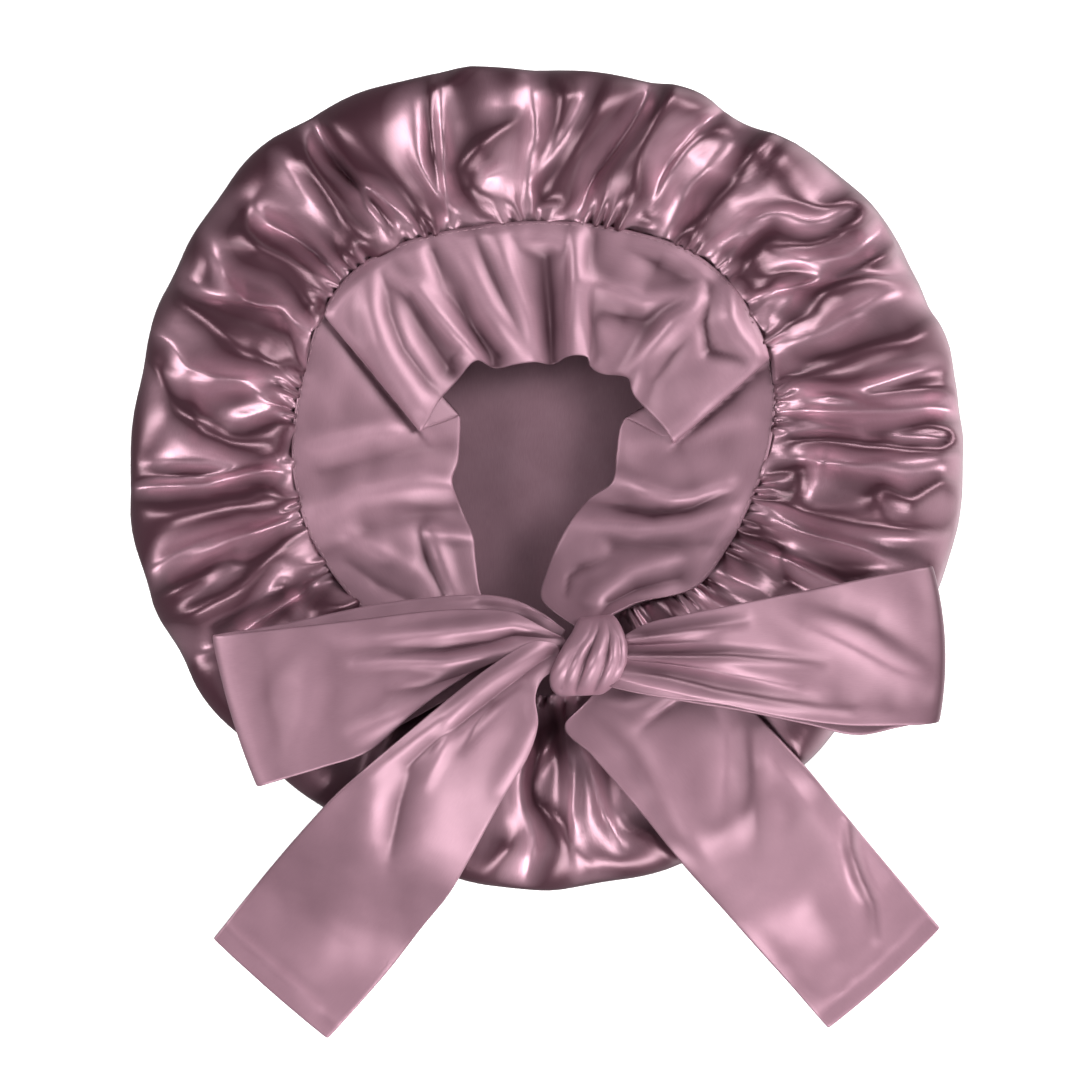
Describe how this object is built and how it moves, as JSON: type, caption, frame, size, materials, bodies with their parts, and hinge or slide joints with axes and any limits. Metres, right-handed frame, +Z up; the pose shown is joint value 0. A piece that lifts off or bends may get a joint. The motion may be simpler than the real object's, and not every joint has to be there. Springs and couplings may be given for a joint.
{
  "type": "sleep bonnet",
  "caption": "Round gathered satin sleep bonnet lying open, its wide tie band turned in over the opening and tied in a flat bow.",
  "frame": {"origin": "centre of the crown, on the surface that the bonnet lies on", "axes": "+Z up out of the opening, +Y from the bow to the back of the opening, +X towards the right loop of the bow"},
  "size_m": [0.3769, 0.4383, 0.0762],
  "materials": {
    "crown_satin": "glossy dusty mauve satin",
    "band_satin": "soft-sheen dusty mauve satin"
  },
  "bodies": {
    "root": {"crown": "crown_satin", "collar_back": "band_satin", "collar_left": "band_satin", "collar_right": "band_satin", "bow_knot": "band_satin", "bow_loop_left": "band_satin", "bow_loop_right": "band_satin", "bow_tail_left": "band_satin", "bow_tail_right": "band_satin"}
  },
  "joints": []
}
